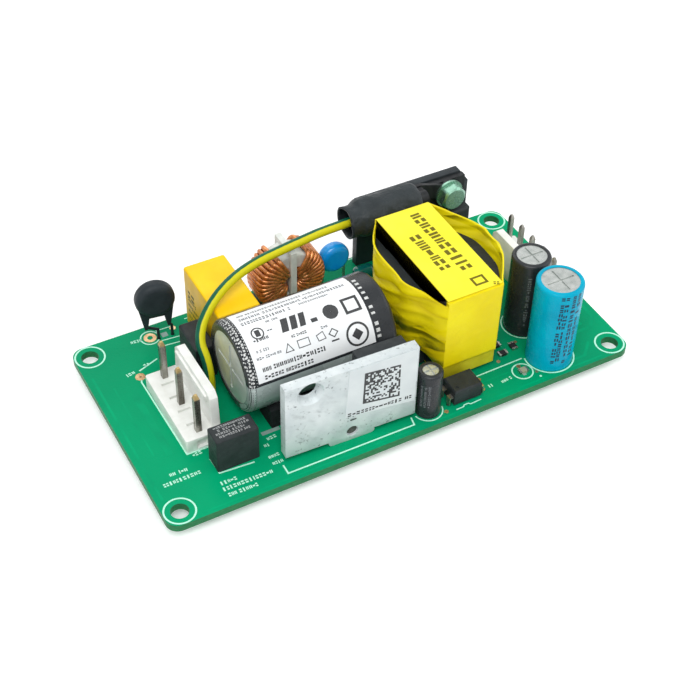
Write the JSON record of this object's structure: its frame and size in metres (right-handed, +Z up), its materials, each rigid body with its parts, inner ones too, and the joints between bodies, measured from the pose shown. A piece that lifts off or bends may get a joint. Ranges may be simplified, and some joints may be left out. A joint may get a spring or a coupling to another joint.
{
  "type": "ac-dc power supply",
  "caption": "Open-frame AC-DC power supply on a rectangular circuit board, with a mains pin header at one end, an output pin header at the other and two upright heatsinks.",
  "frame": {"origin": "centre of the pattern of four board holes, on the board's underside", "axes": "+X along the board from the mains header to the output header, +Y towards the rear heatsink's edge, +Z up out of the component side"},
  "size_m": [0.1016, 0.0508, 0.0256],
  "materials": {
    "board_green": "green solder mask on glass-fibre board",
    "header_white": "moulded white nylon",
    "tinned_metal": "tinned copper leads and pins",
    "solder": "bright solder",
    "black_plastic": "moulded black plastic",
    "black_coating": "dipped black coating",
    "yellow_box": "moulded yellow box",
    "choke_white": "moulded white core case",
    "copper_wire": "enamelled copper wire",
    "blue_coating": "dipped blue coating",
    "brown_coating": "dipped brown coating",
    "teal_coating": "moulded teal coating",
    "can_aluminium": "drawn aluminium can",
    "sleeve_black": "printed black sleeve",
    "sleeve_cyan": "printed blue sleeve",
    "rubber_black": "black rubber",
    "foam_black": "black foam pad",
    "label_white": "white printed label",
    "heatsink_aluminium": "plain aluminium plate",
    "heatsink_black": "black anodised plate",
    "thermal_grey": "grey thermal pad",
    "ferrite": "sintered ferrite",
    "tape_yellow": "yellow polyester tape",
    "wire_green_yellow": "green and yellow striped insulation",
    "chip_black": "small chip bodies",
    "lamp_clear": "milky lamp lens",
    "screw_steel": "plated steel"
  },
  "bodies": {
    "root": {"circuit_board": "board_green", "ac_header_housing": "header_white", "dc_header_housing": "header_white", "ac_header_pins": "tinned_metal", "dc_header_pins": "tinned_metal", "fuse_leads": "tinned_metal", "thermistor_leads": "tinned_metal", "filter_leads": "tinned_metal", "bulk_capacitor_leads": "tinned_metal", "front_switch_leads": "tinned_metal", "transformer_pins": "tinned_metal", "output_rectifier_leads": "tinned_metal", "output_rectifier_tab": "tinned_metal", "optocoupler_leads": "tinned_metal", "ground_wire_lead": "tinned_metal", "ring_terminal": "tinned_metal", "chip_terminals": "tinned_metal", "solder_joints": "solder", "line_fuse": "black_plastic", "neutral_fuse": "black_plastic", "front_switch": "black_plastic", "output_rectifier": "black_plastic", "optocoupler": "black_plastic", "transformer_bobbin": "black_plastic", "control_chip": "black_plastic", "choke_base": "black_plastic", "thermistor": "black_coating", "x_capacitor": "yellow_box", "choke_case": "choke_white", "choke_winding_left": "copper_wire", "choke_winding_right": "copper_wire", "transformer_coil": "copper_wire", "y_capacitor": "blue_coating", "snubber_capacitor": "brown_coating", "bead_inductor": "teal_coating", "bulk_capacitor_can": "can_aluminium", "output_capacitor_large_can": "can_aluminium", "output_capacitor_small_can": "can_aluminium", "auxiliary_capacitor_can": "can_aluminium", "bulk_capacitor_sleeve": "sleeve_black", "output_capacitor_small_sleeve": "sleeve_black", "auxiliary_capacitor_sleeve": "sleeve_black", "output_capacitor_large_sleeve": "sleeve_cyan", "bulk_capacitor_bung": "rubber_black", "heat_shrink_sleeve": "rubber_black", "bulk_capacitor_pad": "foam_black", "bulk_capacitor_label": "label_white", "front_heatsink_label": "label_white", "front_heatsink": "heatsink_aluminium", "rear_heatsink": "heatsink_black", "front_thermal_pad": "thermal_grey", "transformer_core": "ferrite", "ferrite_bead": "ferrite", "transformer_band": "tape_yellow", "transformer_wrap": "tape_yellow", "ground_wire": "wire_green_yellow", "chip_components": "chip_black", "indicator_lamp": "lamp_clear", "rear_screw": "screw_steel", "rear_washer": "screw_steel"}
  },
  "joints": []
}
